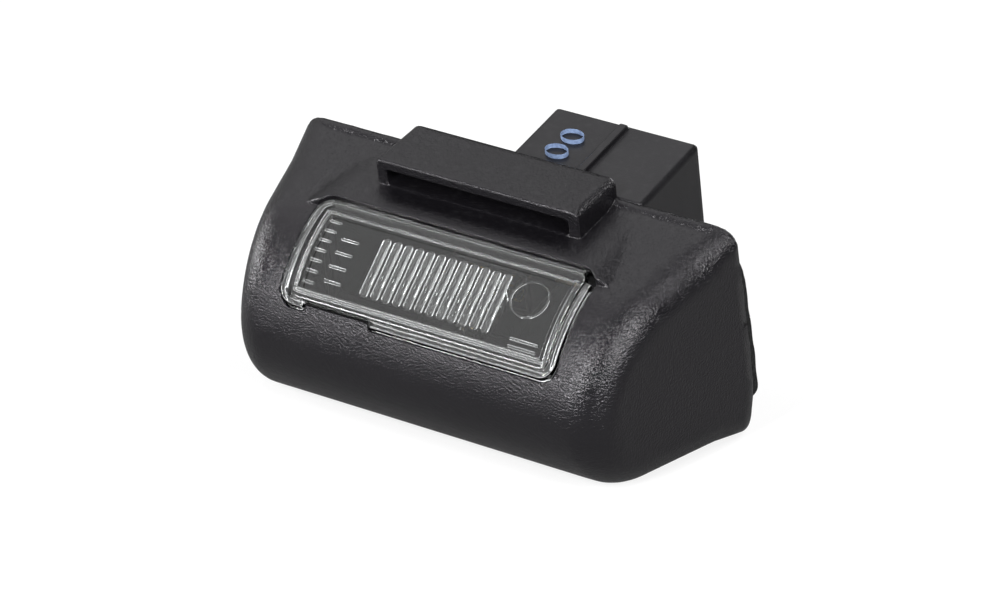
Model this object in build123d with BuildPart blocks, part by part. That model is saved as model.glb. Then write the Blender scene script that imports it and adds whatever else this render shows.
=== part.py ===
"""Clip-in number plate lamp: moulded housing, fluted lens, rear cover with connector, wedge bulb.

Every piece is modelled in the moulding frame: X along the lamp, Y towards the connector, Z up,
origin in the middle of the housing's back top edge. The lamp is then set down on its flat bottom.
"""
from build123d import *
import math
import os

os.makedirs("parts", exist_ok=True)

# Housing, in millimetres and degrees
length = 78.2
back_height = 37.8
top_slope = 6.0
bottom_slope = 13.5
end_taper = 11.2
end_draft = 2.0
top_run = 17.0
nose_radius = 19.5
chin_radius = 13.5
end_round = 5.0
back_edge_chamfer = 0.6
wall = 2.4

# Brow: the level platform above the lens
brow_level = -0.1
brow_back_level = -0.5
brow_depth = 18.0
brow_flat_width = 42.0
brow_shoulder_radius = 10.0
brow_drop = 4.0

# Hook tongue with its forward slot
hook_width = 35.9
hook_depth = 11.3
hook_back_level = 3.6
hook_front_level = 4.4
hook_plate = 1.8
hook_wall = 1.9
hook_round = 1.0
hook_edge_chamfer = 0.4
slot_corner = 0.5
slot_depth = 8.8

# Lens
lens_angle = 30.6
lens_height = 17.9
lens_top_width = 48.6
lens_bottom_width = 48.2
lens_corner = 2.4
lens_proud = 1.1
lens_flange_width = 1.0
lens_frame_width = 1.6
lens_flange_step = 0.5
lens_panel_drop = 0.6
lens_thickness = 1.8
lens_gap = 0.15
seat_depth = 1.4
seat_width = 2.0
seal_thickness = 0.4
notch_length = 11.9
notch_centre = -13.9
key_notch = 2.2
flute_count = 12
flute_pitch = 1.94
flute_width = 1.5
flute_height = 0.55
flute_length = 9.9
flute_end_chamfer = 0.45
flute_row_centre = 0.1
flute_row_shift = 0.1

# Rear cover with the connector block
cover_thickness = 1.6
spigot_depth = 4.0
spigot_wall = 1.4
fit = 0.15
block_width = 25.2
block_height = 15.8
block_top = 0.3
block_offset = 9.75
block_reach = 16.5
block_round = 0.8
socket_wall = 1.6
socket_depth = 11.0
rib_width = 1.5
rib_height = 0.8
rib_end_gap = 0.7

# Mounting gasket
gasket_thickness = 3.0
gasket_width = 4.5
gasket_top_corner = 9.0
gasket_bottom_corner = 3.6
gasket_side_inset = 1.25
gasket_top_inset = 3.0
gasket_bottom_inset = 3.6
gasket_gap = 0.2

# Contacts
metal = 0.8
blade_width = 6.3
blade_spacing = 10.4
blade_tip_gap = 5.2
blade_chamfer = 1.0
finger_width = 3.7
finger_spacing = 5.3
finger_gap = 1.0
tie_height = 2.6
slot_fit = 0.15

# Bulb holder and wedge bulb
holder_wall = 1.2
holder_width = 14.0
holder_height = 8.2
holder_gap = 0.3
bulb_level = -15.5
base_width = 9.4
base_thickness = 2.4
base_length = 8.0
base_gap = 0.3
envelope_radius = 5.0
envelope_length = 16.5
neck_radius = 3.4
neck_length = 3.0
glass_wall = 0.6
dome_steps = 3
lead_radius = 0.25
lead_spacing = 3.6
lead_length = 7.0
filament_radius = 0.35
outer_lead_thickness = 0.35
outer_lead_width = 0.5
outer_lead_length = 5.0


def across(depth):
    """Plane across the lamp, a distance behind the back edge; it extrudes towards the nose."""
    return Plane.XZ.offset(-depth)


# Side section: the nose and chin arcs are tangent to each other and to the sloping top and bottom
top_angle = math.radians(top_slope)
bottom_angle = math.radians(bottom_slope)
nose_centre = Vector(
    -top_run + nose_radius * math.sin(top_angle),
    -top_run * math.tan(top_angle) - nose_radius * math.cos(top_angle),
)
chin_start = Vector(0, -back_height) + chin_radius * Vector(math.sin(bottom_angle), math.cos(bottom_angle))
bottom_way = Vector(-math.cos(bottom_angle), math.sin(bottom_angle))
to_chin = chin_start - nose_centre
along = to_chin.dot(bottom_way)
chin_run = -along + math.sqrt(along**2 - to_chin.dot(to_chin) + (nose_radius - chin_radius) ** 2)
chin_centre = chin_start + chin_run * bottom_way
meeting = chin_centre - nose_centre
meeting_angle = math.degrees(math.atan2(meeting.Y, meeting.X)) % 360
nose_axis = Axis((0, nose_centre.X, nose_centre.Y), (1, 0, 0))

# Ends: both lean in towards the nose and, by the draft, towards the top
taper_run = math.tan(math.radians(end_taper))
draft_run = math.tan(math.radians(end_draft))


def nose_body(inset):
    """The housing's form with square end corners, shrunk evenly by an inset and open to the back."""
    top_at_back = (0, -inset / math.cos(top_angle))
    bottom_at_back = (0, -back_height + inset / math.cos(bottom_angle))
    with BuildPart() as body:
        with BuildSketch(Plane.YZ):
            with BuildLine():
                nose = CenterArc(
                    nose_centre, nose_radius - inset, 90 + top_slope, meeting_angle - 90 - top_slope
                )
                chin = CenterArc(
                    chin_centre, chin_radius - inset, meeting_angle, 270 - bottom_slope - meeting_angle
                )
                Polyline(chin @ 1, bottom_at_back, top_at_back, nose @ 0)
            make_face()
        extrude(amount=length, both=True)
        for side in (-1, 1):
            outward = Vector(side, -taper_run, draft_run).normalized()
            end_middle = Vector(side * length / 2, 0, -back_height / 2)
            split(bisect_by=Plane(end_middle - outward * inset, z_dir=outward), keep=Keep.BOTTOM)
    return body.part


# Lens seat: straight prisms along the lens normal, cut from shells round the nose axis
lens_turn = math.radians(lens_angle)
lens_normal = (0, -math.sin(lens_turn), math.cos(lens_turn))
lens_plane = Plane((0, nose_centre.X, nose_centre.Y), x_dir=(1, 0, 0), z_dir=lens_normal)


def lens_prism(inset):
    """Prism of the lens outline, shrunk evenly, from the nose axis out past the lens."""
    with BuildPart() as prism:
        with BuildSketch(lens_plane):
            with BuildLine():
                Polyline(
                    (-lens_bottom_width / 2, -lens_height / 2),
                    (lens_bottom_width / 2, -lens_height / 2),
                    (lens_top_width / 2, lens_height / 2),
                    (-lens_top_width / 2, lens_height / 2),
                    close=True,
                )
            outline = make_face()
            fillet(outline.vertices(), radius=lens_corner)
            if inset:
                offset(amount=-inset, mode=Mode.REPLACE)
        extrude(amount=1.5 * nose_radius)
    return prism.part


def nose_shell(inner, outer):
    """Shell round the nose axis between two heights above the housing's nose."""
    with BuildPart() as shell:
        with BuildSketch(Plane.YZ):
            with Locations((nose_centre.X, nose_centre.Y)):
                Circle(nose_radius + outer)
                Circle(nose_radius + inner, mode=Mode.SUBTRACT)
        extrude(amount=length / 2, both=True)
    return shell.part


def lens_layer(inset, inner, outer):
    """Part of a nose shell that lies inside the shrunk lens outline."""
    with BuildPart() as layer:
        add(lens_prism(inset))
        add(nose_shell(inner, outer), mode=Mode.INTERSECT)
    return layer.part


def notch_prism(shrink):
    """Prism of the notch in the lens rim, shrunk evenly, which a tab of the housing fills."""
    with BuildPart() as prism:
        with BuildSketch(lens_plane):
            with Locations((notch_centre, -lens_height / 2)):
                Rectangle(notch_length - 2 * shrink, 2 * (lens_flange_width - shrink))
        extrude(amount=1.5 * nose_radius)
    return prism.part


flange_top = lens_proud - lens_flange_step
panel_top = lens_proud - lens_panel_drop
panel_inside = panel_top - lens_thickness
flange_bottom = seal_thickness - seat_depth
frame_inset = lens_flange_width + lens_frame_width

# Hook tongue: a wide box with rounded edges and a slot that opens forwards over the brow
with BuildPart() as hook_tongue:
    with BuildSketch(Plane.YZ):
        with BuildLine():
            Polyline(
                (0, hook_back_level),
                (-hook_depth, hook_front_level),
                (-hook_depth, brow_level - wall / 2),
                (0, brow_level - wall / 2),
                close=True,
            )
        make_face()
    extrude(amount=hook_width / 2, both=True)
    uprights = hook_tongue.edges().filter_by(Axis.Z)
    fillet(uprights.group_by(Axis.Y)[0], radius=hook_round)
    hook_top = hook_tongue.faces().sort_by(Axis.Z)[-1]
    chamfer(hook_top.edges(), length=hook_edge_chamfer)
    with BuildSketch(across(-hook_depth)):
        slot_height = hook_front_level - hook_plate - brow_level
        with Locations((0, brow_level + slot_height / 2)):
            RectangleRounded(hook_width - 2 * hook_wall, slot_height, slot_corner)
    extrude(amount=-slot_depth, mode=Mode.SUBTRACT)

# Lens pocket: the stepped seat in the nose, less the tab that keys the lens
with BuildPart() as lens_pocket:
    add(lens_layer(-lens_gap, -seat_depth, 3 * wall))
    add(notch_prism(lens_gap), mode=Mode.SUBTRACT)
    add(lens_layer(seat_width, -3 * wall, 3 * wall))

# Housing: the brow's rounded shoulders sink into the sloping top and leave arcs on it
shoulder = brow_flat_width / 2
brow_edge = shoulder + math.sqrt(brow_shoulder_radius**2 - (brow_shoulder_radius - brow_drop) ** 2)
with BuildPart() as housing:
    add(nose_body(0))
    ends = housing.faces().filter_by(lambda face: abs(face.normal_at().X) > 0.9)
    fillet(ends.edges().filter_by(lambda edge: edge.center().Y < -0.1), radius=end_round)
    back_rim = housing.faces().sort_by(Axis.Y)[-1].edges()
    chamfer(back_rim, length=back_edge_chamfer)
    with BuildSketch(across(0)):
        with BuildLine():
            right = RadiusArc(
                (shoulder, brow_back_level), (brow_edge, brow_back_level - brow_drop), brow_shoulder_radius
            )
            left = RadiusArc(
                (-brow_edge, brow_back_level - brow_drop), (-shoulder, brow_back_level), brow_shoulder_radius
            )
            Line(left @ 1, right @ 0)
            Line(right @ 1, left @ 0)
        make_face()
    extrude(amount=brow_depth, dir=(0, -brow_depth, brow_level - brow_back_level))
    add(hook_tongue.part)
    add(nose_body(wall), mode=Mode.SUBTRACT)
    add(lens_pocket.part, mode=Mode.SUBTRACT)
housing.part.label = "housing"

# Lens: flange, raised frame, sunk panel and a row of flutes on the inside
with BuildPart() as flutes:
    with BuildSketch(lens_plane) as flutes_outline:
        with Locations((flute_row_centre, flute_row_shift)):
            with GridLocations(flute_pitch, 1, flute_count, 1):
                Rectangle(flute_width, flute_length)
        chamfer(flutes_outline.vertices(), length=flute_end_chamfer)
    extrude(amount=1.5 * nose_radius)
    add(nose_shell(panel_inside - flute_height, panel_inside + lens_thickness / 2), mode=Mode.INTERSECT)

with BuildPart() as lens:
    add(lens_layer(0, flange_bottom, flange_top))
    add(notch_prism(0), mode=Mode.SUBTRACT)
    with BuildSketch(lens_plane):
        with Locations((lens_top_width / 2, lens_height / 2)):
            Rectangle(2 * key_notch, 2 * key_notch)
    extrude(amount=2 * nose_radius, mode=Mode.SUBTRACT)
    add(lens_layer(lens_flange_width, flange_bottom, lens_proud))
    add(lens_layer(frame_inset, flange_bottom, lens_proud), mode=Mode.SUBTRACT)
    add(lens_layer(seat_width + lens_gap, panel_inside, panel_top))
    add(flutes.part)
lens.part.label = "lens"

# Lens seal: flat rubber frame between the lens flange and its seat
with BuildPart() as lens_seal:
    add(lens_layer(0, -seat_depth, flange_bottom))
    add(lens_layer(seat_width, -seat_depth, flange_bottom), mode=Mode.SUBTRACT)
    add(notch_prism(0), mode=Mode.SUBTRACT)
lens_seal.part.label = "lens_seal"

# Contacts: each is one folded strip with a connector blade, a riser and a finger on the bulb base
blade_level = block_top - block_height / 2
finger_length = base_gap + base_length - glass_wall - finger_gap
holder_length = metal + base_gap + base_length - glass_wall - holder_gap
blade_length = block_reach - blade_tip_gap + cover_thickness + metal


def finger_height(side):
    """Level of a finger's middle: over the bulb base on the left, under it on the right."""
    return bulb_level - side * (base_thickness / 2 + outer_lead_thickness + metal / 2)


def riser_sketch(side, grow):
    """Outline of a contact's riser against the inside of the cover, enlarged evenly."""
    blade_place = block_offset + side * blade_spacing / 2
    finger_place = side * finger_spacing / 2
    foot = finger_height(side) - metal / 2
    head = blade_level + metal / 2
    left = finger_place - finger_width / 2
    right = blade_place + blade_width / 2
    with BuildSketch(across(-cover_thickness)) as outline:
        with Locations((blade_place, (foot + head) / 2)):
            Rectangle(blade_width + 2 * grow, head - foot + 2 * grow)
        with Locations(((left + right) / 2, foot + tie_height / 2)):
            Rectangle(right - left + 2 * grow, tie_height + 2 * grow)
    return outline.sketch


def contact(side):
    """Folded contact strip for the left (-1) or right (1) side of the bulb base."""
    with BuildPart() as strip:
        with BuildSketch(across(block_reach - blade_tip_gap)):
            with Locations((block_offset + side * blade_spacing / 2, blade_level)):
                Rectangle(blade_width, metal)
        extrude(amount=blade_length)
        tip = strip.edges().filter_by(Axis.Z).group_by(Axis.Y)[-1]
        chamfer(tip, length=blade_chamfer)
        extrude(riser_sketch(side, 0), amount=metal)
        with BuildSketch(across(-cover_thickness)):
            with Locations((side * finger_spacing / 2, finger_height(side))):
                Rectangle(finger_width, metal)
        extrude(amount=metal + finger_length)
    return strip.part


contact_left = contact(-1)
contact_left.label = "contact_left"
contact_right = contact(1)
contact_right.label = "contact_right"

# Rear cover: plug in the housing's open back, bulb holder inside, connector block outside
def back_slice(inset, near, far):
    """Slice of the shrunk housing form between two distances in from the back."""
    with BuildPart() as piece:
        add(nose_body(inset))
        with BuildSketch(across(-near)):
            Rectangle(2 * length, 4 * back_height)
        extrude(amount=far - near, mode=Mode.INTERSECT)
    return piece.part


with BuildPart() as rear_cover:
    add(back_slice(wall + fit, 0, spigot_depth))
    add(back_slice(wall + fit + spigot_wall, cover_thickness, spigot_depth), mode=Mode.SUBTRACT)
    with BuildSketch(across(-cover_thickness)):
        with Locations((0, bulb_level)):
            RectangleRounded(holder_width, holder_height, holder_wall)
            Rectangle(holder_width - 2 * holder_wall, holder_height - 2 * holder_wall, mode=Mode.SUBTRACT)
    extrude(amount=holder_length)
    for side in (-1, 1):
        extrude(riser_sketch(side, slot_fit), amount=metal + slot_fit, mode=Mode.SUBTRACT)
    with BuildSketch(across(block_reach)):
        with Locations((block_offset, blade_level)):
            RectangleRounded(block_width, block_height, block_round)
    extrude(amount=block_reach)
    with BuildSketch(across(block_reach)):
        with Locations((block_offset, blade_level)):
            RectangleRounded(block_width - 2 * socket_wall, block_height - 2 * socket_wall, block_round / 2)
    extrude(amount=socket_depth, mode=Mode.SUBTRACT)
    with BuildSketch(across(block_reach)):
        with Locations((block_offset, blade_level)):
            with GridLocations(blade_spacing, 1, 2, 1):
                Rectangle(blade_width + 2 * slot_fit, metal + 2 * slot_fit)
    extrude(amount=block_reach + cover_thickness, mode=Mode.SUBTRACT)
    with BuildSketch(across(block_reach - rib_end_gap)):
        with Locations((block_offset, block_top)):
            Rectangle(rib_width, 2 * rib_height)
    extrude(amount=block_reach - rib_end_gap)
rear_cover.part.label = "rear_cover"

# Mounting gasket: soft frame on the back, open where the connector block passes it
gasket_height = back_height - gasket_top_inset - gasket_bottom_inset
gasket_level = -gasket_top_inset - gasket_height / 2
gasket_foot = length - 2 * gasket_side_inset + 2 * draft_run * (back_height / 2 - gasket_bottom_inset)
gasket_side_angle = 90 - end_draft
with BuildPart() as mounting_gasket:
    with BuildSketch(across(gasket_thickness)) as gasket_outline:
        with Locations((0, gasket_level)):
            Trapezoid(gasket_foot, gasket_height, gasket_side_angle)
        gasket_feet, gasket_shoulders = gasket_outline.vertices().group_by(Axis.Y)
        fillet(gasket_feet, radius=gasket_bottom_corner)
        fillet(gasket_shoulders, radius=gasket_top_corner)
    extrude(amount=gasket_thickness)
    with BuildSketch(across(gasket_thickness)) as gasket_opening:
        with Locations((0, gasket_level)):
            Trapezoid(gasket_foot - 2 * gasket_width, gasket_height - 2 * gasket_width, gasket_side_angle)
        fillet(gasket_opening.vertices(), radius=gasket_top_corner / 2)
        with Locations((block_offset, blade_level)):
            Rectangle(block_width + 2 * gasket_gap, block_height + 2 * gasket_gap)
    extrude(amount=gasket_thickness, mode=Mode.SUBTRACT)
mounting_gasket.part.label = "mounting_gasket"

# Wedge bulb: glass base and hollow envelope on one axis that points at the nose
base_back = -(cover_thickness + metal + base_gap)
envelope_start = base_back - base_length + glass_wall
bulb_axis = Axis((0, 0, bulb_level), (0, -1, 0))


def turned(profile):
    """Solid turned about the bulb's axis from corners given as run past the base and radius."""
    with BuildPart() as solid:
        with BuildSketch(Plane.YZ):
            with BuildLine():
                Polyline(*[(envelope_start - run, bulb_level + radius) for run, radius in profile], close=True)
            make_face()
        revolve(axis=bulb_axis)
    return solid.part


dome_run = envelope_length - envelope_radius
dome_turns = [math.pi / 2 * step / dome_steps for step in range(dome_steps + 1)]
dome = [(dome_run + envelope_radius * math.sin(t), envelope_radius * math.cos(t)) for t in dome_turns]
hollow_radius = envelope_radius - glass_wall
hollow_base = [(neck_length, 0), (neck_length, hollow_radius)]
hollow_tip = [(dome_run, hollow_radius), (envelope_length - glass_wall, 0)]

with BuildPart() as bulb_glass:
    with BuildSketch(across(base_back)):
        with Locations((0, bulb_level)):
            Rectangle(base_width, base_thickness)
    extrude(amount=base_length)
    add(turned([(0, 0), (0, neck_radius), (neck_length, envelope_radius), *dome]))
    add(turned(hollow_base + hollow_tip), mode=Mode.SUBTRACT)
bulb_glass.part.label = "bulb_glass"

# Lead wires: two posts inside the envelope and two tails folded flat on the base
lead_foot = envelope_start - neck_length
with BuildPart() as bulb_leads:
    with BuildSketch(across(lead_foot)):
        with Locations((0, bulb_level)):
            with GridLocations(lead_spacing, 1, 2, 1):
                Circle(lead_radius)
    extrude(amount=lead_length)
    with BuildSketch(across(base_back - base_gap)):
        for side in (-1, 1):
            tail_level = bulb_level - side * (base_thickness + outer_lead_thickness) / 2
            with Locations((side * finger_spacing / 2, tail_level)):
                Rectangle(outer_lead_width, outer_lead_thickness)
    extrude(amount=outer_lead_length)
bulb_leads.part.label = "bulb_leads"

# Filament: the coil's outer form, held between the two posts
with BuildPart() as bulb_filament:
    with BuildSketch(Plane.YZ.offset(-lead_spacing / 2 + lead_radius)):
        with Locations((lead_foot - lead_length + 2 * filament_radius, bulb_level)):
            Circle(filament_radius)
    extrude(amount=lead_spacing - 2 * lead_radius)
bulb_filament.part.label = "bulb_filament"

# The lamp is set down on its flat bottom, with the origin under the middle of its box
pieces = [
    housing.part,
    lens.part,
    lens_seal.part,
    rear_cover.part,
    mounting_gasket.part,
    contact_left,
    contact_right,
    bulb_glass.part,
    bulb_leads.part,
    bulb_filament.part,
]
tilted = [piece.rotate(Axis.X, bottom_slope) for piece in pieces]
corners = [piece.bounding_box() for piece in tilted]
front = min(box.min.Y for box in corners)
rear = max(box.max.Y for box in corners)
lowest = min(box.min.Z for box in corners)
for piece, original in zip(tilted, pieces):
    placed = piece.translate((0, -(front + rear) / 2, -lowest))
    placed.label = original.label
    export_step(placed, f"parts/{placed.label}.step")
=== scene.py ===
# %% [markdown]
# # Number plate lamp
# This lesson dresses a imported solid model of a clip-in number plate lamp: a black grained housing, a clear
# fluted lens, a rear cover with its plug socket, a soft gasket and a wedge bulb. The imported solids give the
# frame: every piece made here is put where its solid is and stands in for it in the picture.

# %% Load the solids
import bpy
import math
import numpy as np
import openvdb
from mathutils import Euler, Matrix, Vector


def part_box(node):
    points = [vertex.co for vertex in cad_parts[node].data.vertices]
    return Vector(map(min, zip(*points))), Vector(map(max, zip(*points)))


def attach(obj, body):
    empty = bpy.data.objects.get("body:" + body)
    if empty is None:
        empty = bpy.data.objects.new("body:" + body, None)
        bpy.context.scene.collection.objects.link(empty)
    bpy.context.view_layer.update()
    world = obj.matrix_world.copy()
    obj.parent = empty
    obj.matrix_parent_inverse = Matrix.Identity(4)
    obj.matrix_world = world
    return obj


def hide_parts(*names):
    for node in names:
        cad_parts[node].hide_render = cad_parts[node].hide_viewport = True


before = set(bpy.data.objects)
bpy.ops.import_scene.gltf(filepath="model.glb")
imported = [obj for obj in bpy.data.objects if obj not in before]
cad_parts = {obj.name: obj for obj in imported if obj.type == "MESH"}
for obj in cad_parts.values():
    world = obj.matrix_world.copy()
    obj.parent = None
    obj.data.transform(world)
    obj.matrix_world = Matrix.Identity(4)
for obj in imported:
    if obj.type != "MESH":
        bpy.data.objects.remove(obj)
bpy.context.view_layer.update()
print("solids:", sorted(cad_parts))

# %% [markdown]
# ## The moulding frame
# A moulder would draw this lamp square to its back face, but it rests on a flat bottom that slopes. So the
# sizes below are in millimetres in the moulding frame (X along the lamp, Y to the plug, Z up, zero at the
# back top edge), and one turn and one shift put a finished piece on the table.

# %% Moulding frame
bottom_slope = math.radians(13.5)
back_edge_place = np.array((0.0, 4.6917, 36.7556))
slope_cos = math.cos(bottom_slope)
slope_sin = math.sin(bottom_slope)
rest_turn = np.array(((1, 0, 0), (0, slope_cos, -slope_sin), (0, slope_sin, slope_cos)))


def on_table(points):
    """Moulding-frame millimetres to table metres."""
    return (np.asarray(points, float) @ rest_turn.T + back_edge_place) / 1000


print("back top edge on the table:", on_table([(0, 0, 0)]).round(4).tolist())

# %% [markdown]
# ## Camera
# The picture was taken with a long lens from the front right, about 25 degrees above the floor. A long lens
# keeps the edges nearly parallel. The camera is aimed at a point inside the lamp and then rolled a little.

# %% Camera
def add_object(name, data):
    """New object in the scene."""
    made = bpy.data.objects.new(name, data)
    bpy.context.scene.collection.objects.link(made)
    return made


camera_place = Vector((0.32370, -0.52870, 0.30909))
camera_aim = Vector((0.00098, -0.00065, 0.01800))
camera_roll = math.radians(1.645)
camera_data = bpy.data.cameras.new("camera")
camera_data.sensor_width = 36
camera_data.lens = 162
camera = add_object("camera", camera_data)
look = (camera_aim - camera_place).to_track_quat("-Z", "Y").to_matrix()
rolled = look @ Matrix.Rotation(camera_roll, 3, "Z")
camera.matrix_world = Matrix.Translation(camera_place) @ rolled.to_4x4()
bpy.context.scene.camera = camera
print("camera distance:", round((camera_aim - camera_place).length, 3))

# %% [markdown]
# ## Studio
# Small black parts are shot in a white tent on a pale floor. Both show white to the camera and through the
# clear lens. In reflections the tent is bright only at the left and overhead on the left, because a black
# gloss shows whatever surrounds it and the real lamp mirrors dark on its other sides. All other rays see a
# plain grey, so the lamps stay in charge of the light. Under them the floor keeps a soft shadow.

# %% Tent and floor
bpy.context.scene.view_settings.view_transform = "Standard"


def plug(tree, source, socket):
    """Feed an input from a socket, from a node's first output or with a plain value."""
    if hasattr(source, "outputs"):
        source = source.outputs[0]
    if hasattr(source, "is_linked"):
        tree.links.new(source, socket)
    else:
        socket.default_value = source


def math_node(tree, operation, *values):
    """Output of a math node."""
    made = tree.nodes.new("ShaderNodeMath")
    made.operation = operation
    for socket, value in zip(made.inputs, values):
        plug(tree, value, socket)
    return made.outputs[0]


def ramp(tree, value, low, high, to_low, to_high):
    """Output of a map range node, held at its ends."""
    made = tree.nodes.new("ShaderNodeMapRange")
    labels = ("Value", "From Min", "From Max", "To Min", "To Max")
    for label, source in zip(labels, (value, low, high, to_low, to_high)):
        plug(tree, source, made.inputs[label])
    return made.outputs[0]


tent_side_glow = 0.42
tent_top_glow = 0.85
tent_right_share = 0.12
tent_dark = 0.06
tent_fill = 0.1
tent = bpy.data.worlds.new("tent")
tent.use_nodes = True
bpy.context.scene.world = tent
tent_tree = tent.node_tree
tent_path = tent_tree.nodes.new("ShaderNodeLightPath").outputs
tent_way = tent_tree.nodes.new("ShaderNodeSeparateXYZ")
tent_tree.links.new(tent_tree.nodes.new("ShaderNodeTexCoord").outputs["Generated"], tent_way.inputs[0])
tent_side = ramp(tent_tree, tent_way.outputs["X"], -0.8, -0.45, tent_side_glow, tent_dark)
tent_top = ramp(tent_tree, tent_way.outputs["Z"], 0.4, 0.9, tent_dark, tent_top_glow)
tent_left = ramp(tent_tree, tent_way.outputs["X"], -0.2, 0.2, 1.0, tent_right_share)
tent_overhead = math_node(tent_tree, "MULTIPLY", tent_top, tent_left)
tent_mirror = math_node(tent_tree, "MAXIMUM", tent_side, tent_overhead)
tent_plain = ramp(tent_tree, tent_path["Is Glossy Ray"], 0.0, 1.0, tent_fill, tent_mirror)
tent_direct = math_node(tent_tree, "MAXIMUM", tent_path["Is Camera Ray"], tent_path["Is Transmission Ray"])
tent_glow = tent_tree.nodes["Background"]
tent_glow.inputs["Color"].default_value = (1, 1, 1, 1)
tent_tree.links.new(ramp(tent_tree, tent_direct, 0.0, 1.0, tent_plain, 1.0), tent_glow.inputs["Strength"])

floor_half = 3.0
floor_grey = 0.215
floor_white = 0.77
floor_mesh = bpy.data.meshes.new("floor")
floor_corners = [(-1, -1, 0), (1, -1, 0), (1, 1, 0), (-1, 1, 0)]
floor_mesh.from_pydata([floor_half * Vector(corner) for corner in floor_corners], [], [(0, 1, 2, 3)])
floor = add_object("floor", floor_mesh)

floor_finish = bpy.data.materials.new("pale_floor")
floor_finish.use_nodes = True
floor_surface = floor_finish.node_tree.nodes["Principled BSDF"]
floor_surface.inputs["Base Color"].default_value = (floor_grey, floor_grey, floor_grey, 1)
floor_surface.inputs["Roughness"].default_value = 0.9
floor_surface.inputs["Emission Color"].default_value = (1, 1, 1, 1)
floor_tree = floor_finish.node_tree
floor_path = floor_tree.nodes.new("ShaderNodeLightPath").outputs
floor_rays = (floor_path["Is Camera Ray"], floor_path["Is Transmission Ray"])
floor_seen = math_node(floor_tree, "MAXIMUM", *floor_rays)
floor_glow = math_node(floor_tree, "MULTIPLY", floor_seen, floor_white)
floor_tree.links.new(floor_glow, floor_surface.inputs["Emission Strength"])
floor_mesh.materials.append(floor_finish)
print("floor side:", 2 * floor_half, "m")

# %% [markdown]
# ## Lamps
# A curved black surface shows a lamp only where it mirrors it, so most lamps here are placed by the
# highlight they make: the two streaks on the nose, the glint along the top edge, and the glow at the left
# and under the lens. The broad lamp above and the one behind only fill. A lamp is set by the brightness of
# its face, since that is what the highlight shows, and its power follows from its size.

# %% Lamps
lamp_distance = 0.8
lamp_target = Vector((0, 0, 0.02))


def soft_lamp(name, side_angle, lift_angle, width, height, radiance):
    """Soft rectangular lamp, turned to the right of the front and lifted off the floor by two angles."""
    data = bpy.data.lights.new(name, "AREA")
    data.shape = "RECTANGLE"
    data.size = width
    data.size_y = height
    data.energy = radiance * math.pi * width * height
    turn = math.radians(side_angle)
    lift = math.radians(lift_angle)
    way = Vector((math.sin(turn) * math.cos(lift), -math.cos(turn) * math.cos(lift), math.sin(lift)))
    lamp = add_object(name, data)
    aim = (-way).to_track_quat("-Z", "Y").to_matrix().to_4x4()
    lamp.matrix_world = Matrix.Translation(lamp_target + lamp_distance * way) @ aim
    return lamp


lamps = [
    soft_lamp("top_lamp", -117.0, 56.0, 0.9, 0.8, 0.55),
    soft_lamp("left_lamp", -78.0, 12.0, 0.12, 0.26, 35.0),
    soft_lamp("front_strip", -4.0, 26.0, 0.12, 0.36, 54.0),
    soft_lamp("right_strip", 66.0, 26.0, 0.12, 0.42, 39.0),
    soft_lamp("right_high_lamp", 95.0, 60.0, 0.14, 0.14, 21.0),
    soft_lamp("front_lamp", -31.0, 8.0, 0.25, 0.08, 23.0),
    soft_lamp("back_lamp", 175.0, 14.0, 0.5, 0.3, 5.0),
]
print("lamps:", [lamp.name for lamp in lamps])

# %% [markdown]
# ## Forms as distance fields
# A moulded piece is a few simple walls joined by rounded edges. A distance field says how far a point lies
# from the surface, negative inside, so each wall is one line of arithmetic. Three short functions join and
# cut forms and round the edges between them. OpenVDB, which comes with Blender, turns the field into a
# mesh, and the slope of the field gives exact normals. Bevels on a boolean mesh could do the same, but they
# break where arcs meet.

# %% Distance-field tools
def both(a, b, rounding=0.0):
    """Inside both forms, with the outer edge between them rounded."""
    a = a + rounding
    b = b + rounding
    return np.minimum(np.maximum(a, b), 0) + np.hypot(np.maximum(a, 0), np.maximum(b, 0)) - rounding


def either(a, b, fillet=0.0):
    """Inside one form or the other, with a fillet in the corner between them."""
    return -both(-a, -b, fillet)


def without(a, b, rounding=0.0):
    """The first form with the second cut out of it, and the cut's edge rounded."""
    return both(a, -b, rounding)


def unit(vectors):
    """Vectors brought to length one."""
    return vectors / np.linalg.norm(vectors, axis=1, keepdims=True)


def field_mesh(name, field, low, high, cell, adaptivity=0.02, place=on_table):
    """Mesh of a field's zero surface, with the field's own slope as its normals."""
    low = np.array(low, float)
    cell = np.array(cell, float)
    counts = np.ceil((np.array(high, float) - low) / cell).astype(int) + 1
    lines = [low[i] + cell[i] * np.arange(counts[i]) for i in range(3)]
    values = field(*np.meshgrid(*lines, indexing="ij", sparse=True))
    grid = openvdb.FloatGrid()
    grid.copyFromArray(np.ascontiguousarray(np.broadcast_to(values, counts), dtype=np.float32))
    corners, triangles, quads = grid.convertToPolygons(0.0, adaptivity)
    points = low + corners.astype(float) * cell
    step = 0.02
    slopes = [field(*(points + shift).T) - field(*(points - shift).T) for shift in step * np.eye(3)]
    placed = place(points)
    directions = unit(place(points + step * unit(np.stack(slopes, 1))) - placed)
    mesh = bpy.data.meshes.new(name)
    mesh.from_pydata(placed.tolist(), [], triangles.tolist() + quads.tolist())
    mesh.validate()
    first = mesh.polygons[0]
    if first.normal.dot(Vector(directions[first.vertices[0]])) < 0:
        mesh.flip_normals()
    mesh.shade_smooth()
    mesh.normals_split_custom_set_from_vertices(directions.tolist())
    print(name, "faces:", len(mesh.polygons), "triangles:", sum(len(p.vertices) - 2 for p in mesh.polygons))
    return add_object(name, mesh)


print("1 mm inside two walls:", both(-1.0, -1.0))

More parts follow.
